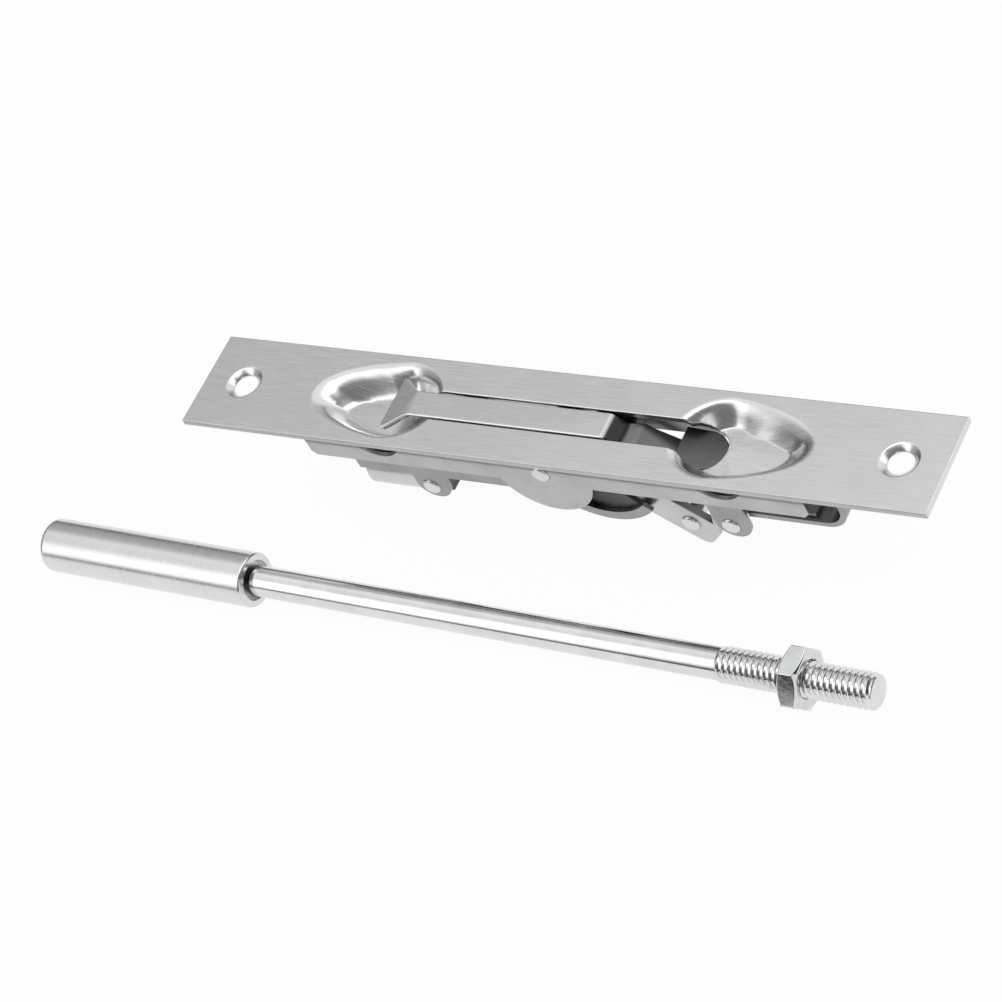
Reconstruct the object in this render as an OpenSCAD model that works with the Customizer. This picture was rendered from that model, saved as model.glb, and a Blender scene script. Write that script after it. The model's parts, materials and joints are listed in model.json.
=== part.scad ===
// Lever door bolt: a face plate with a flip lever, a slide behind it, and the threaded rod with its
// bolt head lying beside it. X runs along the plate, +Z out of its face, and z = 0 is its back face.

/* [Face plate] */
// Length of the face plate
plate_l = 190; // [180:1:200]
// Width of the face plate
plate_w = 25.4; // [24:0.2:30]
// Thickness of the face plate
plate_t = 1.6; // [1.2:0.1:2]
// Distance between the two screw holes
screw_spacing = 168; // [160:1:172]
// Radius of a screw hole
screw_r = 2.95; // [2:0.05:3.2]
// Radius of the countersink at the front face
sink_r = 4.5; // [4:0.1:5]
// Width of the lever slot
slot_w = 7.8; // [7.4:0.1:8.2]

/* [Finger recesses] */
// Depth of a recess below the front face
recess_depth = 4.8; // [4:0.1:5]
// Half width of a recess
recess_hw = 11; // [10:0.1:11.4]
// Distance of a recess's widest place from the plate's middle
recess_x = 42; // [41:0.5:43]
// Reach of a recess from its widest place towards the plate's middle
recess_inner = 12.5; // [11.5:0.5:13.5]
// Reach of a recess from its widest place towards the plate's end
recess_outer = 22.5; // [20:0.5:22.5]
// Wall of a pressed recess, measured downwards
recess_wall = 1.3; // [1:0.1:1.4]

/* [Guide frame] */
// Length of the two side walls
frame_l = 128; // [124:1:130]
// Height of a side wall below the plate
frame_h = 8.8; // [8.6:0.1:9]
// Thickness of a side wall
frame_t = 1.2; // [0.8:0.1:1.5]
// Radius of the round ear that carries the pivot
ear_r = 12.4; // [11.4:0.2:12.6]
// Width of an end strap
strap_w = 14.4; // [12:0.2:14.8]
// Thickness of an end strap
strap_t = 1.4; // [1.2:0.1:1.4]
// Outer bend radius of an end strap
strap_bend = 6; // [4:0.5:6.5]
// Outer end of the left strap, from the plate's middle
strap_left = 66; // [66:0.5:70]
// Outer end of the right strap, from the plate's middle
strap_right = 70.6; // [70:0.2:72]

/* [Lever] */
// Place of the pivot along the plate
pivot_x = -1.2; // [-1.5:0.1:-0.8]
// Depth of the pivot below the plate's back face
pivot_z = 5.4; // [5.4:0.1:5.7]
// Radius of the pivot pin
pivot_r = 2.2; // [1.8:0.1:2.3]
// Width of the lever's handle
handle_w = 7; // [6:0.1:7.2]
// Thickness of the lever's handle
handle_t = 1.5; // [1.2:0.1:1.8]
// Reach of the handle's tip from the pivot
handle_reach = 42; // [40:0.1:42]
// Width of the handle's fan-shaped tip
tip_w = 14.4; // [12:0.2:15]
// Thickness of a crank cheek
cheek_t = 1.8; // [1:0.1:1.8]
// Outside width across both crank cheeks
cheek_span = 13.8; // [13.4:0.1:14]
// Radius of a cheek round the pivot
hub_r = 5; // [4.4:0.1:5]
// Slope of the crank arm below the plate, in degrees
arm_angle = 41; // [40:0.5:42]
// Width of the crank arm
arm_w = 8.4; // [8:0.2:8.6]
// Reach of the crank arm along its own slope
arm_reach = 39.9; // [39:0.1:40]
// Radius of the crank pin and the slide pins
pin_r = 2.2; // [1.8:0.1:2.2]

/* [Slide] */
// Outside width across both slide rails
slide_span = 17.6; // [17.3:0.1:17.7]
// Thickness of a slide rail
rail_t = 1.1; // [0.8:0.1:1.2]
// Distance between the two slide pins
slide_pins = 77.3; // [77.2:0.1:78]
// Reach of the right slide pin from the pivot
slide_reach = 42.4; // [42.3:0.1:42.6]
// Depth of the slide pins below the plate's back face
slide_pin_z = 17.6; // [17.4:0.1:18]
// Half width of a lug
lug_r = 4.4; // [4:0.1:4.8]
// Outer radius of the rod coupling
coupling_r = 5.8; // [5.4:0.1:6]
// Length of the coupling's round barrel
coupling_l = 18; // [15:0.5:18]
// Radius of the coupling's threaded bore
thread_bore_r = 4; // [3.9:0.01:4.1]

/* [Rod] */
// Length of the rod with its head
rod_l = 220.4; // [200:0.2:300]
// Radius of the plain shank
shank_r = 3.6; // [3:0.1:3.8]
// Radius of the thread
thread_r = 3.97; // [3.9:0.01:4]
// Length of the thread
thread_l = 37.2; // [30:0.2:60]
// Radius of the bolt head
head_r = 6.35; // [5.5:0.05:6.5]
// Length of the bolt head
head_l = 60.4; // [40:0.2:90]
// Distance across the nut's flats
nut_af = 12.7; // [12:0.1:13]
// Thickness of the nut
nut_h = 4.8; // [4.4:0.1:6]
// Distance from the nut to the rod's tip
nut_back = 15.7; // [13:0.1:18]
// Turn of the loose rod away from the plate's direction, in degrees
rod_turn = 1.24; // [0:0.01:3]
// Distance of the loose rod's middle from the plate's middle line
rod_y = 39; // [35:0.5:60]

/* [Hidden] */
$fn = 48;

// Small overlap that keeps a cut or a joint clean
eps = 0.05;
// Gap between flat faces that slide past each other
gap = 0.2;
// Radial gap of a pin that turns in its hole
pin_gap = 0.05;
// How far a pin's end stands proud of the outermost plate it holds
pin_proud = 0.45;
// Chamfer at a pin's end
pin_chamfer = 0.35;

// Places across the width, from the outside in
wall_in = slide_span / 2 + gap;
wall_out = wall_in + frame_t;
rail_out = slide_span / 2;
rail_in = rail_out - rail_t;
cheek_out = cheek_span / 2;
cheek_in = cheek_out - cheek_t;

// Levels below the plate's back face, as z values
pz = -pivot_z;
spin_z = -slide_pin_z;
rail_bottom = -frame_h - 4.9;
strap_top = rail_bottom - 2 * gap;
slide_plate_t = 1.1;
strap_lift = 2.8;
lug_z = spin_z + 0.8;
lug_shift = 0.6;
right_pin_x = pivot_x + slide_reach;
left_pin_x = right_pin_x - slide_pins;
coupling_z = spin_z - 3.8;

// Recess: share of the outline where the flat floor ends, and the rings of the pressed form
floor_share = 0.56;
recess_rings = [0.3, 0.56, 0.6, 0.66, 0.73, 0.8, 0.87, 0.94, 1];
recess_steps = 40;

// Outline of the right recess, from its widest place, for an angle t and a share s of its size
function recess_point(t, s) = [
    (cos(t) > 0 ? recess_outer : recess_inner) * cos(t) * s,
    recess_hw * sin(t) * (cos(t) > 0 ? 1 - 0.18 * cos(t) * abs(sin(t)) : 1) * s
];

// Height of the pressed surface at share s: a flat floor, then a smooth wall to a rolled rim
function recess_height(s) =
    s <= floor_share ? plate_t - recess_depth + 0.3 * (1 - s / floor_share)
    : plate_t - recess_depth * (1 + cos(180 * pow((s - floor_share) / (1 - floor_share), 0.85))) / 2;

// Closed solid between the pressed surface, moved down by drop, and a flat lid
module recess_solid(drop, lid) {
    n = recess_steps;
    rings = len(recess_rings);
    surface = [for (s = recess_rings) for (k = [0:n - 1])
        let (p = recess_point(k * 360 / n, s)) [p[0], p[1], recess_height(s) - drop]];
    rim = [for (k = [0:n - 1]) let (p = recess_point(k * 360 / n, 1)) [p[0], p[1], lid]];
    low = rings * n + n;
    points = concat(surface, rim, [[0, 0, recess_height(0) - drop]]);
    walls = [for (r = [0:rings - 1]) for (k = [0:n - 1])
        let (a = r * n + k, b = r * n + (k + 1) % n, c = (r + 1) * n + (k + 1) % n, d = (r + 1) * n + k)
        [d, c, b, a]];
    floor_fan = [for (k = [0:n - 1]) [low, (k + 1) % n, k]];
    lid_face = [for (k = [0:n - 1]) rings * n + n - 1 - k];
    polyhedron(points, concat(walls, floor_fan, [lid_face]));
}

// A module drawn at both recesses
module both_recesses() {
    translate([recess_x, 0, 0]) children();
    mirror([1, 0, 0]) translate([recess_x, 0, 0]) children();
}

// A flat shape in X and Z, given thickness between two places across the width
module across(y0, y1) {
    translate([0, y1, 0]) rotate([90, 0, 0]) linear_extrude(y1 - y0) children();
}

// A round pin across the width, with chamfered ends
module cross_pin(x, z, r, y0, y1) {
    translate([x, y0, z]) rotate([-90, 0, 0]) {
        cylinder(h = pin_chamfer, r1 = r - pin_chamfer, r2 = r);
        translate([0, 0, pin_chamfer]) cylinder(h = y1 - y0 - 2 * pin_chamfer, r = r);
        translate([0, 0, y1 - y0 - pin_chamfer]) cylinder(h = pin_chamfer, r1 = r, r2 = r - pin_chamfer);
    }
}

// A straight bar with round ends, between two points
module bar2d(a, b, r) {
    angle = atan2(b[1] - a[1], b[0] - a[0]);
    translate(a) circle(r);
    translate(b) circle(r);
    translate(a) rotate(angle) translate([0, -r]) square([norm(b - a), 2 * r]);
}

// Offset of a line of points by a thickness, as a closed outline
function offset_line(p, t) = [for (i = [0:len(p) - 1])
    let (a = p[max(i - 1, 0)], b = p[min(i + 1, len(p) - 1)], d = (b - a) / norm(b - a))
    p[i] + t * [d[1], -d[0]]];
function strip(p, t) = let (q = offset_line(p, t)) concat(p, [for (i = [len(q) - 1:-1:0]) q[i]]);

// Slot: narrow along the handle, with a wide round end for the finger tab
tab_x = pivot_x + 37.6;
tab_half = 4.75;
slot_left = pivot_x - 32.5;
slot_corner = 1;
module slot2d() {
    for (s = [-1, 1]) translate([slot_left + slot_corner, s * (slot_w / 2 - slot_corner)]) circle(slot_corner);
    translate([slot_left, slot_corner - slot_w / 2]) square([2 * slot_corner, slot_w - 2 * slot_corner]);
    translate([slot_left + slot_corner, -slot_w / 2]) square([tab_x - slot_left - slot_corner, slot_w]);
    translate([tab_x, 0]) circle(tab_half + 0.65);
}

module faceplate() {
    color([0.78, 0.78, 0.79])
    difference() {
        union() {
            translate([-plate_l / 2, -plate_w / 2, 0]) cube([plate_l, plate_w, plate_t]);
            both_recesses() recess_solid(recess_wall, plate_t / 2);
        }
        both_recesses() recess_solid(0, plate_t + 1);
        translate([0, 0, -recess_depth - recess_wall]) linear_extrude(2 * recess_depth + plate_t) slot2d();
        for (x = [-1, 1] * screw_spacing / 2) translate([x, 0, 0]) {
            translate([0, 0, -eps]) cylinder(h = plate_t + 2 * eps, r = screw_r);
            translate([0, 0, plate_t - (sink_r - screw_r) * 0.7])
                cylinder(h = (sink_r - screw_r) * 0.7 + eps, r1 = screw_r, r2 = sink_r + eps);
        }
    }
}

// Side wall: a long band under the plate with a round ear at the pivot, relieved over the recesses
relief_r = 6.8;
relief_depth = 6.1;
relief_shift = 1.7;
relief_l = 20;
relief_top = 2.2;
wall_bevel = 1.2;
foot_l = 8;
foot_x = [-28, 18];
foot_in = 1.7;
module side_wall2d() {
    difference() {
        union() {
            polygon([[-frame_l / 2, 0], [frame_l / 2, 0], [frame_l / 2, wall_bevel - frame_h],
                [frame_l / 2 - wall_bevel, -frame_h], [wall_bevel - frame_l / 2, -frame_h],
                [-frame_l / 2, wall_bevel - frame_h]]);
            intersection() {
                translate([pivot_x, pz]) circle(ear_r);
                translate([pivot_x - ear_r, pz - ear_r]) square([2 * ear_r, ear_r + pivot_z]);
            }
        }
        for (s = [-1, 1]) translate([s * (recess_x + relief_shift), 0]) {
            translate([0, relief_r - relief_depth]) circle(relief_r);
            translate([-relief_l / 2, -relief_top]) square([relief_l, relief_top + eps]);
        }
        translate([pivot_x, pz]) circle(pivot_r);
    }
}
module side_wall(side) {
    color([0.72, 0.72, 0.72])
    scale_side(side) {
        across(wall_in, wall_out) side_wall2d();
        for (x = foot_x) translate([x, wall_in - foot_in, -frame_t]) cube([foot_l, foot_in + eps, frame_t]);
    }
}
// Mirrors a piece to the front (-Y) side
module scale_side(side) {
    if (side < 0) mirror([0, 1, 0]) children();
    else children();
}
module side_wall_front() { side_wall(-1); }
module side_wall_rear() { side_wall(1); }

// End strap: a foot under the plate, a leg down, a round bend and a floor under the slide
strap_foot = 5;
module end_strap(x_out, x_in, floor_top) {
    z0 = floor_top - strap_t;
    c = [x_out - strap_bend, z0 + strap_bend];
    across(-strap_w / 2, strap_w / 2) {
        difference() {
            translate(c) circle(strap_bend);
            translate(c) circle(strap_bend - strap_t);
            translate([c[0] - strap_bend - eps, c[1] - strap_bend - eps])
                square([strap_bend + eps, 2 * strap_bend + 2 * eps]);
            translate([c[0] - eps, c[1]]) square([strap_bend + 2 * eps, strap_bend + eps]);
        }
        translate([x_in, z0]) square([c[0] - x_in, strap_t]);
        translate([x_out - strap_t, c[1]]) square([strap_t, -c[1]]);
        translate([x_out - strap_t, -strap_t]) square([strap_foot + strap_t, strap_t]);
    }
}
strap_left_in = 45;
strap_right_in = 45.8;
module end_strap_left() {
    color([0.6, 0.6, 0.61]) mirror([1, 0, 0]) end_strap(strap_left, strap_left_in, strap_top + strap_lift);
}
module end_strap_right() {
    color([0.6, 0.6, 0.61]) end_strap(strap_right, strap_right_in, strap_top);
}

module pivot_pin() {
    color([0.86, 0.86, 0.86])
    cross_pin(pivot_x, pz, pivot_r, -wall_out - pin_proud, wall_out + pin_proud);
}
washer_r = 3.2;
module hub_washers() {
    color([0.8, 0.8, 0.8])
    for (side = [-1, 1]) scale_side(side)
        across(cheek_out + gap / 2, rail_in - gap / 2) difference() {
            translate([pivot_x, pz]) circle(washer_r);
            translate([pivot_x, pz]) circle(pivot_r);
        }
}

// Handle: flat along the face, a joggle down through the slot, then a sloped tail under the tab.
// Points are the top line from the tip to the tail, measured from the pivot.
handle_top = pivot_z + plate_t - 0.2;
joggle_start = 14.4;
joggle_end = 18.6;
joggle_drop = 2.5;
tail_fold = 21.8;
tail_slope = 27;
tail_end = 36.4;
tip_droop = 0.9;
neck_x = 35.3;
handle_line = concat(
    [[-handle_reach, handle_top - tip_droop], [-neck_x, handle_top]],
    [for (k = [0:8]) [joggle_start + (joggle_end - joggle_start) * k / 8,
        handle_top - joggle_drop * (1 - cos(180 * k / 8)) / 2]],
    [[tail_fold, handle_top - joggle_drop],
        [tail_end, handle_top - joggle_drop - (tail_end - tail_fold) * tan(tail_slope)]]);
// Plan of the handle: concave shoulders sweep out to the straight tip
function shoulder(side) = [for (k = [0:6])
    [-neck_x - (handle_reach - neck_x) * sin(90 * k / 6),
        side * (handle_w / 2 + (tip_w - handle_w) / 2 * (1 - cos(90 * k / 6)))]];
module handle_plan() {
    polygon(concat([[tail_end, -handle_w / 2]], shoulder(-1),
        [for (k = [6:-1:0]) shoulder(1)[k]], [[tail_end, handle_w / 2]]));
}
module at_pivot() { translate([pivot_x, 0, pz]) children(); }
module lever_handle() {
    color([0.74, 0.74, 0.75])
    at_pivot() intersection() {
        across(-tip_w / 2, tip_w / 2) polygon(strip(handle_line, handle_t));
        translate([0, 0, -handle_reach / 2]) linear_extrude(handle_reach) handle_plan();
    }
}

// Finger tab: a rounded tongue in the wide end of the slot, on a short leg from the tail
tab_left = 31.9;
tab_t = 1;
tab_top = 3;
tab_slope = 8;
tab_end_half = 4.6;
leg_x = 35.2;
leg_t = 1.2;
leg_half = 2;
function tail_top(x) = handle_top - joggle_drop - (x - tail_fold) * tan(tail_slope);
function tab_under(x) = tab_top - tab_t - (x - tab_left) * tan(tab_slope);
module finger_tab() {
    color([0.4, 0.4, 0.41])
    at_pivot() {
        intersection() {
            across(-tab_half, tab_half) polygon(strip([[tab_left, tab_top],
                [tab_left + 11, tab_top - 11 * tan(tab_slope)]], tab_t));
            translate([0, 0, -5]) linear_extrude(15) {
                translate([tab_x - pivot_x, 0]) circle(tab_half);
                polygon([[tab_left - 0.5, -tab_end_half], [tab_left - 0.5, tab_end_half],
                    [tab_x - pivot_x, tab_half], [tab_x - pivot_x, -tab_half]]);
            }
        }
        across(-leg_half, leg_half) polygon([[leg_x, tail_top(leg_x)],
            [leg_x + leg_t, tail_top(leg_x + leg_t)], [leg_x + leg_t, tab_under(leg_x) + gap],
            [leg_x, tab_under(leg_x) + gap]]);
    }
}

// Crank: two cheeks joined under the tail by a bridge, with a sloped arm and a nose at its end
bridge_top = handle_top - joggle_drop - handle_t;
bridge_t = 1.2;
bridge_x = [8, 18.5];
arm_low = 3.64;
arm_high = arm_low + arm_w;
arm_corner = 2.2;
nose_x = slide_reach - pin_r - 0.6;
nose_z = pivot_z - slide_pin_z;
crank_pin_at = [30.3, -15.8];
// A place on the arm: distance along its slope, and distance across it
function arm_at(along, over) = [along * cos(arm_angle) + over * sin(arm_angle),
    over * cos(arm_angle) - along * sin(arm_angle)];
hub_turn = asin(arm_low / hub_r) - arm_angle;
cheek_line = concat(
    [for (k = [0:20]) let (a = 125 + (235 + hub_turn) * k / 20) hub_r * [cos(a), sin(a)]],
    [for (k = [0:5]) arm_at(arm_reach - arm_corner * (1 - sin(18 * k)), arm_low + arm_corner * (1 - cos(18 * k)))],
    [arm_at(arm_reach, arm_high - arm_corner), arm_at(arm_reach - 0.8, arm_high - 0.8), [nose_x, nose_z - 2],
        [nose_x, nose_z + 1.6], [nose_x - 2.7, nose_z + 1.6], arm_at(arm_reach - 2.7, arm_high),
        [bridge_x[1], (arm_high - bridge_x[1] * sin(arm_angle)) / cos(arm_angle)],
        [bridge_x[1], bridge_top], [bridge_x[0], bridge_top]]);
module cheek2d() {
    difference() {
        polygon(cheek_line);
        circle(pivot_r + pin_gap);
        translate(crank_pin_at) circle(pin_r);
    }
}
module crank_cheek(side) {
    color([0.76, 0.76, 0.76])
    at_pivot() scale_side(side) across(cheek_in, cheek_out) cheek2d();
}
module crank_cheek_front() { crank_cheek(-1); }
module crank_cheek_rear() { crank_cheek(1); }
module crank_bridge() {
    color([0.45, 0.45, 0.46])
    at_pivot() translate([bridge_x[0], -cheek_in, bridge_top - bridge_t])
        cube([bridge_x[1] - bridge_x[0], 2 * cheek_in, bridge_t]);
}
hub_bush_r = 3.4;
module hub_bush() {
    color([0.7, 0.7, 0.7])
    at_pivot() across(-cheek_in, cheek_in) difference() {
        circle(hub_bush_r);
        circle(pivot_r + pin_gap);
    }
}
module crank_pin() {
    color([0.86, 0.86, 0.86])
    at_pivot() cross_pin(crank_pin_at[0], crank_pin_at[1], pin_r, gap - rail_in, rail_in - gap);
}

// Slide rail: a bar behind the side wall, with two hanging lugs and a curved hook under the pivot
hook_c = [12, 1];
hook_r = 16.35;
hook_w = 2.6;
hook_root = [-6, -2.4];
hook_cut = [[-7, -3.8], [-7, -30], [40, -30], [37.9, -22.9], [16, -3.8]];
module hook_ring2d() {
    intersection() {
        difference() {
            translate(hook_c) circle(hook_r);
            translate(hook_c) circle(hook_r - hook_w);
        }
        polygon(hook_cut);
    }
}
module hook2d() {
    translate([pivot_x, pz]) {
        translate([hook_root[0], -8]) square([hook_root[1] - hook_root[0], 8]);
        hook_ring2d();
    }
}
rail_top = -3.2;
rail_left = left_pin_x - 18;
rail_right = right_pin_x + 7.7;
stroke = 9.4;
arch_top = -0.5;
arch_end = 5.5;
arch_low = pz + pivot_r + 2 * gap;
module slide_rail2d() {
    difference() {
        union() {
            translate([rail_left, -frame_h + gap]) square([rail_right - rail_left, frame_h - gap + rail_top]);
            translate([rail_left, rail_bottom])
                square([pivot_x - ear_r + 2 - rail_left, -frame_h + gap - rail_bottom + eps]);
            translate([pivot_x - arch_end, rail_top - 1]) square([stroke + 2 * arch_end, arch_top - rail_top + 1]);
            hook2d();
            for (x = [left_pin_x, right_pin_x]) translate([x + lug_shift, lug_z]) {
                circle(lug_r);
                translate([-lug_r, 0]) square([2 * lug_r, -frame_h + gap - lug_z + eps]);
            }
        }
        translate([pivot_x - pivot_r - 2 * gap, -frame_h - eps])
            square([stroke + 2 * pivot_r + 4 * gap, arch_low + frame_h + eps]);
        for (x = [left_pin_x, right_pin_x]) translate([x, spin_z]) circle(pin_r);
    }
}
module slide_rail(side) {
    color([0.7, 0.7, 0.7]) scale_side(side) across(rail_in, rail_out) slide_rail2d();
}
module slide_rail_front() { slide_rail(-1); }
module slide_rail_rear() { slide_rail(1); }

// Shield: thin dark sheet behind the hook, which closes the view into the slide
shield_t = 0.5;
shield_cut = [[-7, -3.8], [-7, -30], [37.5, -30], [14.5, -3.8]];
module hook_shields() {
    color([0.2, 0.2, 0.2])
    for (side = [-1, 1]) scale_side(side) translate([pivot_x, 0, pz])
        across(rail_in - shield_t, rail_in) intersection() {
            translate(hook_c) circle(hook_r - 0.3);
            polygon(shield_cut);
            translate([hook_root[0] + gap, -2 * hook_r]) square([4 * hook_r, 2 * hook_r + hook_cut[0][1]]);
        }
}

// Cross plates that hold the two rails apart, each running over its end strap
slide_left_in = 3.4;
slide_left_l = 6.5;
slide_right_in = 2.5;
slide_right_l = 18.5;
slide_tongue = strap_w - 2;
module slide_plate_left() {
    color([0.6, 0.6, 0.6])
    translate([rail_left + slide_left_in, -rail_in, strap_top + strap_lift + gap])
        cube([slide_left_l, 2 * rail_in, slide_plate_t]);
}
module slide_plate_right() {
    x0 = right_pin_x + slide_right_in;
    color([0.6, 0.6, 0.6])
    translate([0, 0, strap_top + gap]) linear_extrude(slide_plate_t) {
        translate([x0, -rail_in]) square([right_pin_x + lug_shift + lug_r - x0, 2 * rail_in]);
        translate([x0, -slide_tongue / 2]) square([slide_right_l, slide_tongue]);
    }
}
module guide_studs() {
    color([0.86, 0.86, 0.86])
    for (side = [-1, 1]) scale_side(side)
        cross_pin(right_pin_x, spin_z, pin_r, cheek_in + 0.1, rail_out + pin_proud);
}
module coupling_pin() {
    color([0.86, 0.86, 0.86])
    cross_pin(left_pin_x, spin_z, pin_r, -rail_out - pin_proud, rail_out + pin_proud);
}

// Rod coupling: a threaded barrel with a flat eye on the left slide pin
eye_half = 4.6;
barrel_back = 20.9;
barrel_x = left_pin_x - barrel_back;
eye_low = 3;
eye_r = 4;
eye_top = strap_top + strap_lift - strap_t - gap;
module rod_coupling() {
    color([0.8, 0.8, 0.8])
    difference() {
        union() {
            translate([barrel_x, 0, coupling_z]) rotate([0, 90, 0]) cylinder(h = coupling_l, r = coupling_r);
            intersection() {
                across(-eye_half, eye_half) {
                    translate([left_pin_x, spin_z]) circle(eye_r);
                    translate([barrel_x + coupling_l - 2, coupling_z - eye_low])
                        square([left_pin_x - barrel_x - coupling_l + eye_low, spin_z - coupling_z + eye_low + eye_r]);
                }
                translate([barrel_x + 2, -eye_half - eps, eye_top - 2 * coupling_l])
                    cube([2 * barrel_back, 2 * eye_half + 2 * eps, 2 * coupling_l]);
            }
        }
        translate([barrel_x - eps, 0, coupling_z]) rotate([0, 90, 0]) cylinder(h = coupling_l - 1.5, r = thread_bore_r);
        across(-eye_half - eps, eye_half + eps) translate([left_pin_x, spin_z]) circle(pin_r);
    }
}
collar_r = 2.9;
module coupling_collars() {
    color([0.8, 0.8, 0.8])
    for (side = [-1, 1]) scale_side(side)
        across(eye_half, rail_in) difference() {
            translate([left_pin_x, spin_z]) circle(collar_r);
            translate([left_pin_x, spin_z]) circle(pin_r);
        }
}

// The loose rod lies on the same level as the crank arm's lowest corner
arm_lowest = pz - (arm_reach - arm_corner) * sin(arm_angle) + (arm_low + arm_corner) * cos(arm_angle) - arm_corner;
rod_z = arm_lowest + head_r;
rod_x = -22;
module at_rod() {
    translate([rod_x, -rod_y, rod_z]) rotate([0, 0, -rod_turn]) translate([-rod_l / 2, 0, 0])
        rotate([0, 90, 0]) children();
}
ring_in = 4.7;
ring_depth = 3;
head_round = 1.5;
shank_in = 30;
module bolt_head() {
    color([0.75, 0.75, 0.74])
    at_rod() rotate_extrude() difference() {
        union() {
            translate([0, head_round]) square([head_r, head_l - head_round - 0.6]);
            square([head_r - head_round, head_l - head_round]);
            translate([head_r - head_round, head_round]) circle(head_round);
            translate([0, head_l - 0.7]) square([head_r - 0.6, 0.7]);
            translate([head_r - 0.6, head_l - 0.6]) circle(0.6);
        }
        translate([-head_r, -eps]) square([head_r, head_l + 2 * eps]);
        translate([0, head_l - shank_in]) square([shank_r, shank_in + eps]);
        translate([0, head_l - ring_depth]) square([ring_in, ring_depth + eps]);
    }
}
module head_ring() {
    color([0.5, 0.5, 0.5])
    at_rod() translate([0, 0, head_l - ring_depth]) difference() {
        cylinder(h = 1, r = ring_in);
        translate([0, 0, -eps]) cylinder(h = 1 + 2 * eps, r = shank_r);
    }
}
module rod_shank() {
    color([0.88, 0.88, 0.88])
    at_rod() {
        translate([0, 0, head_l - shank_in]) cylinder(h = rod_l - thread_l - head_l + shank_in, r = shank_r);
        translate([0, 0, rod_l - thread_l]) cylinder(h = thread_l - 1, r = thread_r);
        translate([0, 0, rod_l - 1]) cylinder(h = 1, r1 = thread_r, r2 = thread_r - 0.9);
    }
}
module lock_nut() {
    color([0.8, 0.8, 0.81])
    at_rod() translate([0, 0, rod_l - nut_back - nut_h]) rotate([0, 0, 90]) intersection() {
        difference() {
            cylinder(h = nut_h, r = nut_af / 2 / cos(30), $fn = 6);
            translate([0, 0, -eps]) cylinder(h = nut_h + 2 * eps, r = thread_r + pin_gap);
        }
        rotate_extrude() polygon([[0, 0], [nut_af / 2 - 0.2, 0], [nut_af / 2 / cos(30) + 0.1, 0.8],
            [nut_af / 2 / cos(30) + 0.1, nut_h - 0.8], [nut_af / 2 - 0.2, nut_h], [0, nut_h]]);
    }
}

faceplate();
side_wall_front();
side_wall_rear();
end_strap_left();
end_strap_right();
pivot_pin();
hub_washers();
lever_handle();
finger_tab();
crank_bridge();
crank_cheek_front();
crank_cheek_rear();
hub_bush();
crank_pin();
slide_rail_front();
slide_rail_rear();
slide_plate_left();
slide_plate_right();
hook_shields();
guide_studs();
coupling_pin();
rod_coupling();
coupling_collars();
bolt_head();
rod_shank();
head_ring();
lock_nut();
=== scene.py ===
import bpy
import bmesh
import json
import math
from mathutils import Matrix, Vector

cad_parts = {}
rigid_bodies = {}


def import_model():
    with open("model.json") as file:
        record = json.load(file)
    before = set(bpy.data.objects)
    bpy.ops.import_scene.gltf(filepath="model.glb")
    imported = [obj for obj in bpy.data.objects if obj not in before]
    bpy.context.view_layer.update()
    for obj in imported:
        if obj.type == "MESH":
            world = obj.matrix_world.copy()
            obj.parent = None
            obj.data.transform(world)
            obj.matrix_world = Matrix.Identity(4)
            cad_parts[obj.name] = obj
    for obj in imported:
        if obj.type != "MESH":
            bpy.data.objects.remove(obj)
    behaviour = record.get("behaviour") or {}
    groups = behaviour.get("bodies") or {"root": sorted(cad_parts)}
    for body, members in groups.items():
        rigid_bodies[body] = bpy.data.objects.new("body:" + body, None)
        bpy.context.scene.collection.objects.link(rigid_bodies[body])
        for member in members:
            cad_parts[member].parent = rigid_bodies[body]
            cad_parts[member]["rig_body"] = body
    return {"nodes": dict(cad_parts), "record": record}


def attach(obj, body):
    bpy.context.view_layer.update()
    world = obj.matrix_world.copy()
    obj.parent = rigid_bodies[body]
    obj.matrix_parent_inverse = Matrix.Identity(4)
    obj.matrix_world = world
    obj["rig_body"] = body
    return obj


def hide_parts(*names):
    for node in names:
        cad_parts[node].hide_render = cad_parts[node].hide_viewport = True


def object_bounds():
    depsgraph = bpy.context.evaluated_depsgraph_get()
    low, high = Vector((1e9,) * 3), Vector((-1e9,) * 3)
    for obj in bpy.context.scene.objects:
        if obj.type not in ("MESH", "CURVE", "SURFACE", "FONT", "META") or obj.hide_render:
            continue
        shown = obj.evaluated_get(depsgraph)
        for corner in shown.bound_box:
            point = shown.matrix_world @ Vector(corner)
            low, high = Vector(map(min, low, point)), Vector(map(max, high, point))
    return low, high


mm = 0.001
mergeReach = 0.000002  # metres: vertices nearer than this become one
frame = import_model()
nodes = frame["nodes"]
cadBox = [list(corner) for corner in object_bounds()]
scene = bpy.context.scene
print("door bolt: frame loaded,", len(nodes), "nodes")


# camera: stands to the right and in front of the plate, looking down on it
cameraSet = {
    "place": (402.9, -371.8, 525.5),
    "right": (0.834, 0.408, -0.373),
    "forward": (-0.541, 0.466, -0.70),
    "lens": 125.8, "sensor": 36, "clip": (0.02, 20),
}


def makeCamera(values):
    data = bpy.data.cameras.new("photoCamera")
    data.lens = values["lens"]
    data.sensor_width = values["sensor"]
    camera = bpy.data.objects.new("photoCamera", data)
    scene.collection.objects.link(camera)
    forward = Vector(values["forward"]).normalized()
    right = Vector(values["right"])
    right = (right - forward * right.dot(forward)).normalized()
    up = right.cross(forward)
    turn = Matrix((right, up, -forward)).transposed().to_4x4()
    camera.matrix_world = Matrix.Translation(Vector(values["place"]) * mm) @ turn
    data.clip_start, data.clip_end = values["clip"]
    scene.camera = camera


makeCamera(cameraSet)
scene.view_settings.view_transform = "Standard"


# small tools

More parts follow.
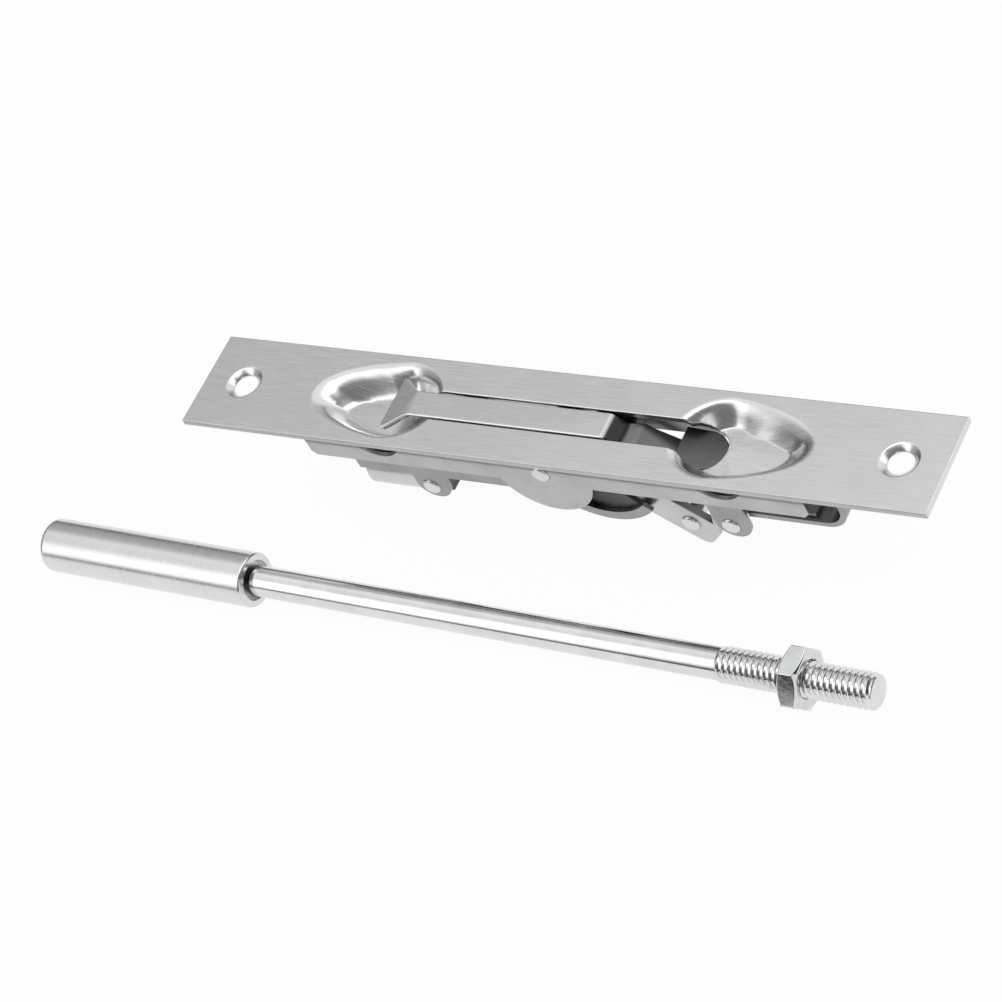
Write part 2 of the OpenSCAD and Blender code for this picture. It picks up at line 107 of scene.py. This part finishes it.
def deselectAll():
    if bpy.context.mode != "OBJECT":
        bpy.ops.object.mode_set(mode="OBJECT")
    bpy.ops.object.select_all(action="DESELECT")


def makeActive(piece):
    deselectAll()
    piece.select_set(True)
    bpy.context.view_layer.objects.active = piece


def applyPlace(piece):
    makeActive(piece)
    bpy.ops.object.transform_apply(location=True, rotation=True, scale=True)


def addModifier(piece, kind, **settings):
    makeActive(piece)
    modifier = piece.modifiers.new(kind, kind)
    for name, value in settings.items():
        setattr(modifier, name, value)
    bpy.ops.object.modifier_apply(modifier=modifier.name)


def calculateOutside(piece):
    makeActive(piece)
    bpy.ops.object.mode_set(mode="EDIT")
    bpy.ops.mesh.select_all(action="SELECT")
    bpy.ops.mesh.remove_doubles(threshold=mergeReach)
    bpy.ops.mesh.normals_make_consistent(inside=False)
    bpy.ops.object.mode_set(mode="OBJECT")


def drawLine(name, points):
    # a line of edges in X and Z, drawn point by point from one vertex
    deselectAll()
    x, z = points[0]
    bpy.ops.mesh.primitive_plane_add(size=mm, location=(x * mm, 0, z * mm))
    piece = bpy.context.active_object
    piece.name = name
    applyPlace(piece)
    bpy.ops.object.mode_set(mode="EDIT")
    bpy.ops.mesh.select_all(action="SELECT")
    bpy.ops.mesh.merge(type="CENTER")
    for before, after in zip(points, points[1:]):
        step = ((after[0] - before[0]) * mm, 0, (after[1] - before[1]) * mm)
        bpy.ops.mesh.extrude_vertices_move(TRANSFORM_OT_translate={"value": step})
    bpy.ops.object.mode_set(mode="OBJECT")
    return piece


def turnRound(name, points, steps):
    # a closed shape turned round the X axis from a line that starts and ends on it
    piece = drawLine(name, points)
    addModifier(piece, "SCREW", axis="X", screw_offset=0, steps=steps, render_steps=steps,
                use_merge_vertices=True, merge_threshold=mergeReach)
    calculateOutside(piece)
    return piece


def boolean(piece, operation, cutter):
    addModifier(piece, "BOOLEAN", operation=operation, object=cutter, solver="EXACT")
    bpy.data.objects.remove(cutter)


def smoothByAngle(piece, degrees):
    makeActive(piece)
    bpy.ops.object.shade_smooth_by_angle(angle=math.radians(degrees))


def dress(piece, material, body, slot, *replaced):
    piece.data.materials.clear()
    piece.data.materials.append(material)
    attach(piece, body)
    if replaced:
        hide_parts(*replaced)
    return piece


# materials

def grey(value, warm=0.0):
    return (value * (1 + warm), value, value * (1 - warm))


noiseSpan = (0.3, 0.7)  # where most of the noise's values lie
grainSpan = (0.32, 0.68)  # the dark and the light grey come at these values


def startMaterial(name):
    material = bpy.data.materials.new(name)
    material.use_nodes = True
    tree = material.node_tree
    shader = tree.nodes["Principled BSDF"]
    return material, tree, shader


def addNoise(tree, coords, stretch, scale, detail, roughness=0.55):
    mapping = tree.nodes.new("ShaderNodeMapping")
    mapping.inputs["Scale"].default_value = stretch
    tree.links.new(coords.outputs["Object"], mapping.inputs["Vector"])
    noise = tree.nodes.new("ShaderNodeTexNoise")
    noise.inputs["Scale"].default_value = scale
    noise.inputs["Detail"].default_value = detail
    noise.inputs["Roughness"].default_value = roughness
    tree.links.new(mapping.outputs["Vector"], noise.inputs["Vector"])
    return noise


def addRamp(tree, source, stops):
    ramp = tree.nodes.new("ShaderNodeValToRGB")
    elements = ramp.color_ramp.elements
    while len(elements) < len(stops):
        elements.new(0.5)
    for element, (place, shade) in zip(elements, stops):
        element.position = place
        element.color = shade if len(shade) == 4 else (*shade, 1)
    tree.links.new(source, ramp.inputs["Fac"])
    return ramp


def addRange(tree, source, low, high):
    spread = tree.nodes.new("ShaderNodeMapRange")
    spread.inputs["From Min"].default_value = noiseSpan[0]
    spread.inputs["From Max"].default_value = noiseSpan[1]
    spread.inputs["To Min"].default_value = low
    spread.inputs["To Max"].default_value = high
    tree.links.new(source, spread.inputs["Value"])
    return spread


# greys along one axis of the object, at places in mm
def alongRamp(tree, coords, axis, stops):
    low, high = stops[0][0], stops[-1][0]
    parts = tree.nodes.new("ShaderNodeSeparateXYZ")
    tree.links.new(coords.outputs["Object"], parts.inputs[0])
    span = tree.nodes.new("ShaderNodeMapRange")
    span.inputs["From Min"].default_value = low * mm
    span.inputs["From Max"].default_value = high * mm
    tree.links.new(parts.outputs[axis], span.inputs["Value"])
    spots = [((place - low) / (high - low), grey(shade)) for place, shade in stops]
    return addRamp(tree, span.outputs["Result"], spots)


def multiplyColours(tree, first, second):
    mixed = tree.nodes.new("ShaderNodeMix")
    mixed.data_type = "RGBA"
    mixed.blend_type = "MULTIPLY"
    mixed.inputs[0].default_value = 1
    tree.links.new(first, mixed.inputs[6])
    tree.links.new(second, mixed.inputs[7])
    return mixed


# multiplies a colour by such greys, all over or only where the limit's own greys are white: the finishes' painted
# shade and light
def addShade(tree, coords, colour, axis, stops, limit=None):
    mixed = multiplyColours(tree, colour, alongRamp(tree, coords, axis, stops).outputs["Color"])
    if limit:
        tree.links.new(alongRamp(tree, coords, *limit).outputs["Color"], mixed.inputs[0])
    return mixed.outputs[2]


# brushed or satin steel: long fine grain in the colour, the gloss and the relief, and any painted shade or light
# in the colour
def steelMaterial(name, values):
    material, tree, shader = startMaterial(name)
    coords = tree.nodes.new("ShaderNodeTexCoord")
    grain = addNoise(tree, coords, values["grainStretch"], values["grainScale"], 3)
    cloud = addNoise(tree, coords, (1, 1, 1), values["cloudScale"], 2)
    mixed = tree.nodes.new("ShaderNodeMix")
    mixed.data_type = "FLOAT"
    mixed.inputs[0].default_value = values["cloudShare"]
    tree.links.new(grain.outputs["Fac"], mixed.inputs[2])
    tree.links.new(cloud.outputs["Fac"], mixed.inputs[3])
    dark, light = values["dark"], values["light"]
    ramp = addRamp(tree, mixed.outputs[0], [(grainSpan[0], dark), (grainSpan[1], light)])
    colour = ramp.outputs["Color"]
    # painted shade and light listed in the finish
    for shade in values.get("shades", []):
        colour = addShade(tree, coords, colour, *shade)
    tree.links.new(colour, shader.inputs["Base Color"])
    gloss = addRange(tree, grain.outputs["Fac"], *values["roughness"])
    tree.links.new(gloss.outputs["Result"], shader.inputs["Roughness"])
    bump = tree.nodes.new("ShaderNodeBump")
    bump.inputs["Strength"].default_value = values["bump"]
    bump.inputs["Distance"].default_value = values["bumpDepth"] * mm
    tree.links.new(grain.outputs["Fac"], bump.inputs["Height"])
    tree.links.new(bump.outputs["Normal"], shader.inputs["Normal"])
    shader.inputs["Metallic"].default_value = 1
    return material


plateFinish = {
    "grainStretch": (0.03, 1, 0), "grainScale": 4200, "cloudScale": 60, "cloudShare": 0.3,
    "dark": grey(0.66), "light": grey(0.78), "roughness": (0.2, 0.28), "bump": 0.12, "bumpDepth": 0.012,
    # painted shade: the plate's front side face and the foot of its eased edge are darkened
    "shades": [("Y", [(-12.7, 0.66), (-12.6, 0.74), (-12.5, 1), (12.7, 1)])],
}
leverFinish = {
    "grainStretch": (0.04, 1, 0), "grainScale": 3800, "cloudScale": 80, "cloudShare": 0.4,
    "dark": grey(0.66), "light": grey(0.76), "roughness": (0.2, 0.28), "bump": 0.1, "bumpDepth": 0.012,
    "shades": [
        # painted shade: the joggle face is darkened almost to black and the tail past it to about a quarter
        ("X", [(12, 1), (13.7, 1), (14.4, 0.05), (17.2, 0.04), (18.0, 0.24), (20.4, 0.28), (21.2, 0.2),
            (36.0, 0.28)]),
        # painted shade: below the top, the handle's sides along the slot are darkened for the shade in the gap
        # beside it
        ("Z", [(-1.0, 0.02), (0.86, 0.02), (1.06, 1), (2.0, 1)], ("X", [(-34, 0), (-30, 1), (13, 1), (14, 0)])),
    ],
}
pressedFinish = {
    "grainStretch": (0.25, 0, 1), "grainScale": 1800, "cloudScale": 120, "cloudShare": 0.5,
    "dark": grey(0.4), "light": grey(0.53), "roughness": (0.26, 0.38), "bump": 0.12, "bumpDepth": 0.015,
    # painted shade: the walls darken upward from just below the plate's overhang, for the shadow under the plate
    "shades": [("Z", [(-5.5, 1), (-4.5, 0.95), (-4.0, 0.5), (0, 0.4)])],
}
# the crank cheeks carry the same painted shade under the plate
crankFinish = {**pressedFinish, "dark": grey(0.47), "light": grey(0.62)}
slideFinish = {
    "grainStretch": (0.3, 0, 1), "grainScale": 1500, "cloudScale": 140, "cloudShare": 0.5,
    "dark": grey(0.28), "light": grey(0.39), "roughness": (0.3, 0.44), "bump": 0.15, "bumpDepth": 0.02,
}
tabFinish = {
    "grainStretch": (0.3, 1, 1), "grainScale": 1700, "cloudScale": 140, "cloudShare": 0.5,
    "dark": grey(0.085), "light": grey(0.125), "roughness": (0.3, 0.42), "bump": 0.1, "bumpDepth": 0.02,
    # painted light and shade: the tab is lighter towards the front and darker towards the back
    "shades": [("Y", [(-5.5, 1.5), (4.5, 0.5)])],
}
# painted shade: near-black, for the shaded inside seen through the crank's window and beside the coupling;
# painted reflection: lighter towards +X past X 6
paintedShadeFinish = {
    **tabFinish, "dark": grey(0.03), "light": grey(0.05), "shades": [("X", [(-40, 1), (6, 1), (24, 3)])],
}
pinFinish = {
    "grainStretch": (1, 1, 1), "grainScale": 2500, "cloudScale": 300, "cloudShare": 0.4,
    "dark": grey(0.62), "light": grey(0.75), "roughness": (0.22, 0.34), "bump": 0.1, "bumpDepth": 0.01,
}
headFinish = {
    "grainStretch": (1, 0.05, 0.05), "grainScale": 4500, "cloudScale": 90, "cloudShare": 0.3,
    "dark": grey(0.66), "light": grey(0.76), "roughness": (0.18, 0.28), "bump": 0.08, "bumpDepth": 0.012,
}
couplingFinish = {
    **headFinish, "dark": grey(0.55), "light": grey(0.64),
    "shades": [("X", [(-60, 1), (-37, 1), (-35.8, 0.12), (-20, 0.12)])],  # painted shade: the tang right of the lug is darkened
}
rodFinish = {
    "grainStretch": (0.3, 1, 1), "grainScale": 900, "cloudScale": 150, "cloudShare": 0.6,
    "dark": grey(0.66, -0.005), "light": grey(0.78, -0.005),
    "roughness": (0.1, 0.18), "bump": 0.05, "bumpDepth": 0.01,
}
nutFinish = {
    "grainStretch": (1, 1, 1), "grainScale": 1100, "cloudScale": 200, "cloudShare": 0.6,
    "dark": grey(0.62, -0.01), "light": grey(0.74, -0.01),
    "roughness": (0.05, 0.11), "bump": 0.06, "bumpDepth": 0.01,
}
plateSteel = steelMaterial("plateSteel", plateFinish)
leverSteel = steelMaterial("leverSteel", leverFinish)
pressedSteel = steelMaterial("pressedSteel", pressedFinish)
crankSteel = steelMaterial("crankSteel", crankFinish)
slideSteel = steelMaterial("slideSteel", slideFinish)
tabSteel = steelMaterial("tabSteel", tabFinish)
paintedShadeSteel = steelMaterial("paintedShadeSteel", paintedShadeFinish)
pinSteel = steelMaterial("pinSteel", pinFinish)
headSteel = steelMaterial("headSteel", headFinish)
couplingSteel = steelMaterial("couplingSteel", couplingFinish)
rodZinc = steelMaterial("rodZinc", rodFinish)
nutZinc = steelMaterial("nutZinc", nutFinish)
print("materials ready")


# a node's own shape with its edges eased: bevel in mm, its segments, finish
easeSet = {
    "faceplate": (0.24, 3, plateSteel),
    "side_wall_front": (0.15, 2, pressedSteel),
    "side_wall_rear": (0.15, 2, pressedSteel),
    "end_strap_left": (0.14, 2, slideSteel),
    "end_strap_right": (0.14, 2, slideSteel),
    "pivot_pin": (0.12, 2, pinSteel),
    "hub_washers": (0.08, 2, pinSteel),
    # the hook shields, crank bridge and coupling collars take the painted shade finish
    "hook_shields": (0.05, 1, paintedShadeSteel),
    "lever_handle": (0.42, 4, leverSteel),
    "finger_tab": (0.15, 2, tabSteel),
    "crank_bridge": (0.12, 2, paintedShadeSteel),
    "crank_cheek_front": (0.14, 2, crankSteel),
    "crank_cheek_rear": (0.14, 2, crankSteel),
    "hub_bush": (0.1, 2, pinSteel),
    "crank_pin": (0.12, 2, pinSteel),
    "slide_rail_front": (0.14, 2, slideSteel),
    "slide_rail_rear": (0.14, 2, slideSteel),
    "slide_plate_left": (0.12, 2, slideSteel),
    "slide_plate_right": (0.12, 2, slideSteel),
    "guide_studs": (0.12, 2, pinSteel),
    "coupling_pin": (0.12, 2, pinSteel),
    "rod_coupling": (0.25, 2, couplingSteel),
    "coupling_collars": (0.08, 2, paintedShadeSteel),
    "bolt_head": (0.1, 2, headSteel),
    "head_ring": (0.08, 2, headSteel),
}
easeAngles = {"flat": 0.4, "sharp": 32}  # degrees: joined below the first, bevelled above the second
tabSet = {"middle": (0.0364, 0, 0), "grown": (1.07, 1.07, 1)}  # middle in metres
fanSet = {
    "neck": -36.5, "tip": -43.2, "halfWidth": 3.5, "tipHalfWidth": 7.2, "droop": 0.9,
    "frontIn": 0.18, "frontFrom": 13, "frontEnd": 20,
}
slotOf = {entry["node"]: entry["material_slot"] for entry in frame["record"]["subparts"]}


# the two pressed finger recesses: outline half sizes, and how far out their floors reach at each angle
recessSet = {
    "middle": 42, "halfWidth": 11, "inner": 12.5, "outer": 22.5, "taper": 0.18, "floor": 0.56,
    "rim": 0.999, "rounds": 6,
    "fade": {-1: (-1, 3), 1: (0, 6)},
    "reach": {
        -1: [(-180, 0.56), (-71, 0.58), (-53, 0.56), (-31, 0.58), (-13, 0.63), (12, 0.53), (30, 0.43), (55, 0.37),
            (90, 0.34), (125, 0.48), (180, 0.56)],
        1: [(-180, 0.56), (-60, 0.56), (-20, 0.6), (10, 0.64), (38, 0.53), (70, 0.47), (100, 0.48), (180, 0.56)],
    },
}


def smoothStep(low, high, value):
    share = min(1, max(0, (value - low) / (high - low)))
    return share * share * (3 - 2 * share)


def reachAt(table, angle):
    for (before, low), (after, high) in zip(table, table[1:]):
        if angle <= after:
            return low + (high - low) * smoothStep(before, after, angle)
    return table[-1][1]


def shapeRecesses(piece, values):
    # slides the pressed surface outward or inward, so that each wall gets its own slope
    for vertex in piece.data.vertices:
        x, y = vertex.co.x / mm, vertex.co.y / mm
        side = 1 if x > 0 else -1
        along = (x - side * values["middle"]) * side
        share = smoothStep(*values["fade"][side], along)
        if share == 0:
            continue
        u, v, bend = along / values["outer"], y / values["halfWidth"], 1
        for _ in range(values["rounds"]):
            angle = math.atan2(v / bend, u)
            bend = 1 - values["taper"] * math.cos(angle) * abs(math.sin(angle))
        size = math.hypot(u, v / bend)
        if size >= values["rim"]:
            continue
        floor = values["floor"]
        target = floor + share * (reachAt(values["reach"][side], math.degrees(angle)) - floor)
        if size <= floor:
            moved = size * target / floor
        else:
            moved = target + (1 - target) * (size - floor) / (1 - floor)
        vertex.co.x = (along * moved / size * side + side * values["middle"]) * mm
        vertex.co.y = y * moved / size * mm


def shapeFan(piece, values):
    # fills out the shoulders of the handle's wide end and draws its front edge in from the slot
    half, wide = values["halfWidth"], values["tipHalfWidth"]
    for vertex in piece.data.vertices:
        x, y = vertex.co.x / mm, vertex.co.y / mm
        share = min(1, max(0, (values["neck"] - x) / (values["neck"] - values["tip"])))
        even = math.asin(share) / (math.pi / 2)
        before = half + (wide - half) * (1 - math.sqrt(1 - share * share))
        after = half + (wide - half) * smoothStep(0, 1, even)
        y *= after / before
        vertex.co.x += (values["neck"] - values["tip"]) * (share - even) * mm
        vertex.co.z += values["droop"] * (share - even) * mm
        if y < 0:
            fading = 1 - smoothStep(values["frontFrom"], values["frontEnd"], x)
            y += values["frontIn"] * (1 - share) * min(1, -y / half) * fading
        vertex.co.y = y * mm


def easedPiece(name, width, segments, material):
    piece = bpy.data.objects.new(name + "Eased", nodes[name].data.copy())
    scene.collection.objects.link(piece)
    makeActive(piece)
    bpy.ops.object.mode_set(mode="EDIT")
    bpy.ops.mesh.select_all(action="SELECT")
    bpy.ops.mesh.remove_doubles(threshold=mergeReach)
    if name == "finger_tab":
        bpy.ops.transform.resize(value=tabSet["grown"], center_override=tabSet["middle"])
    bpy.ops.object.mode_set(mode="OBJECT")
    if name == "faceplate":
        shapeRecesses(piece, recessSet)
    if name == "lever_handle":
        shapeFan(piece, fanSet)
    bpy.ops.object.mode_set(mode="EDIT")
    bpy.ops.mesh.dissolve_limited(angle_limit=math.radians(easeAngles["flat"]), use_dissolve_boundaries=False)
    bpy.ops.object.mode_set(mode="OBJECT")
    addModifier(piece, "BEVEL", width=width * mm, segments=segments, limit_method="ANGLE",
                angle_limit=math.radians(easeAngles["sharp"]), use_clamp_overlap=False)
    smoothByAngle(piece, easeAngles["sharp"])
    addModifier(piece, "WEIGHTED_NORMAL", keep_sharp=True)
    return dress(piece, material, nodes[name]["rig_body"], slotOf[name], name)


for name, (width, segments, material) in easeSet.items():
    easedPiece(name, width, segments, material)
print("eased pieces ready")


# rod: plain shank with a cut thread wound round its free end
rodSet = {
    "middle": (-22.0, -39.0, -21.575), "turn": -1.24, "half": 110.2, "headLength": 60.4, "threadLength": 37.2,
    "shankIn": 28.0, "shankRadius": 3.6, "shankPast": 0.5, "coreFrom": 1.2, "coreTo": 2.5, "coreIn": 0.2,
    "crestRadius": 3.97, "rootRadius": 3.33, "pitch": 1.411, "steps": 40,
    "trimIn": 0.1, "trimOut": 0.05, "leadIn": 0.9, "tipRadius": 3.3, "tipLength": 0.55,
    "sides": 64, "shankAngle": 30, "threadAngle": 24,
}


def placeOnRod(piece, values):
    makeActive(piece)
    piece.rotation_euler = (0, 0, math.radians(values["turn"]))
    piece.location = Vector(values["middle"]) * mm
    applyPlace(piece)


def windThread(name, values, start, turns, crest, root):
    # one pitch of the thread is wound by the screw modifier, then each end is drawn in to a point on the axis
    pitch, steps = values["pitch"], values["steps"]
    shares = [(0, root), (0.12, root), (0.44, crest), (0.56, crest), (0.88, root), (1, root)]
    piece = drawLine(name, [(start + share * pitch, radius) for share, radius in shares])
    addModifier(piece, "SCREW", axis="X", screw_offset=pitch * mm, iterations=turns, steps=steps,
                render_steps=steps, use_merge_vertices=True, merge_threshold=mergeReach)
    makeActive(piece)
    bpy.ops.object.mode_set(mode="EDIT")
    bpy.ops.mesh.select_all(action="SELECT")
    bpy.ops.mesh.remove_doubles(threshold=mergeReach)
    low, high = start * mm, (start + (turns + 1) * pitch) * mm
    endReach = 2.2 * pitch * mm  # only the open edges of that end
    for end, outside in ((low, low - pitch * mm), (high, high + pitch * mm)):
        shape = bmesh.from_edit_mesh(piece.data)
        for vertex in shape.verts:
            vertex.select_set(False)
        for edge in shape.edges:
            near = all(abs(vertex.co.x - end) < endReach for vertex in edge.verts)
            if edge.is_boundary and near:
                edge.select_set(True)
        shape.select_flush_mode()
        bmesh.update_edit_mesh(piece.data)
        bpy.ops.mesh.extrude_region_move()
        bpy.ops.mesh.merge(type="CENTER")
        shape = bmesh.from_edit_mesh(piece.data)
        middle = [vertex for vertex in shape.verts if vertex.select][0].co
        bpy.ops.transform.translate(value=(outside - middle.x, -middle.y, -middle.z))
    bpy.ops.object.mode_set(mode="OBJECT")
    calculateOutside(piece)
    return piece


def makeRod(values):
    half, crest, root = values["half"], values["crestRadius"], values["rootRadius"]
    core, trim = root - values["coreIn"], crest + values["trimOut"]
    threadStart = half - values["threadLength"]
    shankStart = values["headLength"] - half - values["shankIn"]
    shank = turnRound("rodShank", [
        (shankStart, 0), (shankStart, values["shankRadius"]),
        (threadStart + values["shankPast"], values["shankRadius"]),
        (threadStart + values["coreFrom"], core), (threadStart + values["coreTo"], core),
        (threadStart + values["coreTo"], 0),
    ], values["sides"])
    smoothByAngle(shank, values["shankAngle"])
    placeOnRod(shank, values)
    dress(shank, rodZinc, "rod", slotOf["rod_shank"], "rod_shank")
    turns = int(values["threadLength"] / values["pitch"]) + 2
    thread = windThread("rodThread", values, threadStart - values["pitch"], turns, crest, root)
    envelope = turnRound("envelope", [
        (threadStart, 0), (threadStart, root - values["trimIn"]), (threadStart + values["leadIn"], trim),
        (half - values["tipLength"], trim), (half, values["tipRadius"]), (half, 0),
    ], values["sides"])
    boolean(thread, "INTERSECT", envelope)
    smoothByAngle(thread, values["threadAngle"])
    placeOnRod(thread, values)
    dress(thread, rodZinc, "rod", slotOf["rod_shank"], "rod_shank")


makeRod(rodSet)
print("rod ready")


# lock nut: a hexagon with both faces turned back and a countersunk bore
nutSet = {
    "flats": 12.7, "height": 4.8, "back": 15.7, "faceRadius": 5.75, "chamfer": 0.85, "bore": 3.99, "sink": 0.55,
    "spare": 0.02, "past": 1, "turnedSides": 96, "boreSides": 64,
    "bevel": 0.2, "bevelSegments": 3, "bevelAngle": 20, "smoothAngle": 35,
}


def makeNut(values, rod):
    middle = rod["half"] - values["back"] - values["height"] / 2
    halfHeight = values["height"] / 2
    low, high = middle - halfHeight, middle + halfHeight
    corner = values["flats"] / 2 / math.cos(math.radians(30))
    deselectAll()
    bpy.ops.mesh.primitive_cylinder_add(vertices=6, radius=corner * mm, depth=values["height"] * mm,
                                        location=(middle * mm, 0, 0), rotation=(0, math.radians(90), 0))
    nut = bpy.context.active_object
    nut.name = "lockNut"
    applyPlace(nut)
    face, cone, widest = values["faceRadius"], values["chamfer"], corner + values["spare"]
    boolean(nut, "INTERSECT", turnRound("envelope", [
        (low, 0), (low, face), (low + cone, widest), (high - cone, widest), (high, face), (high, 0),
    ], values["turnedSides"]))
    bore, sink, past = values["bore"], values["sink"], values["past"]
    mouth = bore + sink + past
    boolean(nut, "DIFFERENCE", turnRound("cutter", [
        (low - past, 0), (low - past, mouth), (low + sink, bore),
        (high - sink, bore), (high + past, mouth), (high + past, 0),
    ], values["boreSides"]))
    addModifier(nut, "BEVEL", width=values["bevel"] * mm, segments=values["bevelSegments"], limit_method="ANGLE",
                angle_limit=math.radians(values["bevelAngle"]))
    smoothByAngle(nut, values["smoothAngle"])
    addModifier(nut, "WEIGHTED_NORMAL", keep_sharp=True)
    placeOnRod(nut, rod)
    dress(nut, nutZinc, "nut", slotOf["lock_nut"], "lock_nut")


makeNut(nutSet, rodSet)
print("nut ready")


# floor, world and lamps: the sky's bands of light and dark are seen by glossy rays only
studioSet = {
    "floorSize": 6.0, "floorShade": 0.8, "shadowShare": 0.05,
    "lamps": {
        "highLamp": {"place": (0.1, -0.1, 1.1), "aim": (0, 0, 0), "size": 0.5, "power": 1.2},
        "frontLamp": {"place": (0.7, -0.9, 0.5), "aim": (0, 0, 0), "size": 0.5, "power": 0.8},
    },
    "worldDiffuse": 0.9,
    "skyStrength": 1.7,
    "skyAxis": (-1, 1, 0), "skyReach": 1.5,
    "skyStops": [
        (0.0, grey(0.1)), (0.383, grey(0.12)), (0.433, grey(1.0)), (0.553, grey(1.0)), (0.617, grey(0.52)),
        (0.77, grey(0.62)), (0.80, grey(0.62)), (0.82, grey(0.5)), (0.833, grey(0.375)), (0.855, grey(0.33)),
        (1.0, grey(0.22)),
    ],
    "sideStops": [(0.0, grey(0.4)), (0.1, grey(0.45)), (0.17, grey(1.0)), (1.0, grey(1.0))],
    "riseStops": [
        (0.0, grey(1.0)), (0.495, grey(1.0)), (0.505, grey(0.12)), (0.55, grey(0.15)), (0.63, grey(1.0)),
    ],
}


def makeFloor(values, level):
    bpy.ops.mesh.primitive_plane_add(size=values["floorSize"], location=(0, 0, level))
    floor = bpy.context.active_object
    floor.name = "studioFloor"
    material = bpy.data.materials.new("studioFloor")
    material.use_nodes = True
    tree = material.node_tree
    tree.nodes.clear()
    out = tree.nodes.new("ShaderNodeOutputMaterial")
    path = tree.nodes.new("ShaderNodeLightPath")
    seen = tree.nodes.new("ShaderNodeMath")
    seen.operation = "MAXIMUM"
    seenAll = tree.nodes.new("ShaderNodeMath")
    seenAll.operation = "MAXIMUM"
    share = tree.nodes.new("ShaderNodeMath")
    share.operation = "MULTIPLY"
    share.inputs[1].default_value = 1 - values["shadowShare"]
    matt = tree.nodes.new("ShaderNodeBsdfDiffuse")
    matt.inputs["Color"].default_value = (*grey(values["floorShade"]), 1)
    glow = tree.nodes.new("ShaderNodeEmission")
    glow.inputs["Color"].default_value = (1, 1, 1, 1)
    glow.inputs["Strength"].default_value = 1
    mix = tree.nodes.new("ShaderNodeMixShader")
    links = tree.links
    links.new(path.outputs["Is Camera Ray"], seen.inputs[0])
    links.new(path.outputs["Is Glossy Ray"], seen.inputs[1])
    links.new(seen.outputs[0], seenAll.inputs[0])
    links.new(path.outputs["Is Transmission Ray"], seenAll.inputs[1])
    links.new(seenAll.outputs[0], share.inputs[0])
    links.new(share.outputs[0], mix.inputs[0])
    links.new(matt.outputs[0], mix.inputs[1])
    links.new(glow.outputs[0], mix.inputs[2])
    links.new(mix.outputs[0], out.inputs["Surface"])
    floor.data.materials.append(material)


def makeWorld(values):
    world = bpy.data.worlds.new("studioWorld")
    scene.world = world
    world.use_nodes = True
    tree = world.node_tree
    tree.nodes.clear()
    links = tree.links
    out = tree.nodes.new("ShaderNodeOutputWorld")
    path = tree.nodes.new("ShaderNodeLightPath")
    coords = tree.nodes.new("ShaderNodeTexCoord")
    parts = tree.nodes.new("ShaderNodeSeparateXYZ")
    across = tree.nodes.new("ShaderNodeVectorMath")
    across.operation = "DOT_PRODUCT"
    across.inputs[1].default_value = values["skyAxis"]
    links.new(coords.outputs["Generated"], across.inputs[0])
    spread = tree.nodes.new("ShaderNodeMapRange")
    spread.inputs["From Min"].default_value = -values["skyReach"]
    spread.inputs["From Max"].default_value = values["skyReach"]
    links.new(across.outputs["Value"], spread.inputs["Value"])
    sky = addRamp(tree, spread.outputs["Result"], values["skyStops"])
    lift = tree.nodes.new("ShaderNodeMapRange")
    lift.inputs["From Min"].default_value = -1
    links.new(coords.outputs["Generated"], parts.inputs[0])
    links.new(parts.outputs["Z"], lift.inputs["Value"])
    rise = addRamp(tree, lift.outputs["Result"], values["riseStops"])
    reach = tree.nodes.new("ShaderNodeMapRange")
    reach.inputs["From Min"].default_value = -1
    links.new(parts.outputs["X"], reach.inputs["Value"])
    side = addRamp(tree, reach.outputs["Result"], values["sideStops"])
    narrowed = multiplyColours(tree, sky.outputs["Color"], side.outputs["Color"])
    joined = multiplyColours(tree, narrowed.outputs[2], rise.outputs["Color"])
    shine = tree.nodes.new("ShaderNodeBackground")
    links.new(joined.outputs[2], shine.inputs["Color"])
    shine.inputs["Strength"].default_value = values["skyStrength"]
    plain = tree.nodes.new("ShaderNodeBackground")
    plain.inputs["Color"].default_value = (1, 1, 1, 1)
    plain.inputs["Strength"].default_value = values["worldDiffuse"]
    white = tree.nodes.new("ShaderNodeBackground")
    white.inputs["Color"].default_value = (1, 1, 1, 1)
    white.inputs["Strength"].default_value = 1
    seen = tree.nodes.new("ShaderNodeMath")
    seen.operation = "MAXIMUM"
    links.new(path.outputs["Is Camera Ray"], seen.inputs[0])
    links.new(path.outputs["Is Transmission Ray"], seen.inputs[1])
    first = tree.nodes.new("ShaderNodeMixShader")
    links.new(path.outputs["Is Glossy Ray"], first.inputs[0])
    links.new(plain.outputs[0], first.inputs[1])
    links.new(shine.outputs[0], first.inputs[2])
    second = tree.nodes.new("ShaderNodeMixShader")
    links.new(seen.outputs[0], second.inputs[0])
    links.new(first.outputs[0], second.inputs[1])
    links.new(white.outputs[0], second.inputs[2])
    links.new(second.outputs[0], out.inputs["Surface"])


def makeLamps(values):
    for name, lamp in values["lamps"].items():
        data = bpy.data.lights.new(name, "AREA")
        data.size = lamp["size"]
        data.energy = lamp["power"]
        item = bpy.data.objects.new(name, data)
        scene.collection.objects.link(item)
        item.location = lamp["place"]
        aim = Vector(lamp["aim"]) - Vector(lamp["place"])
        item.rotation_euler = aim.to_track_quat("-Z", "Y").to_euler()


makeFloor(studioSet, cadBox[0][2])
makeWorld(studioSet)
makeLamps(studioSet)
print("studio ready")
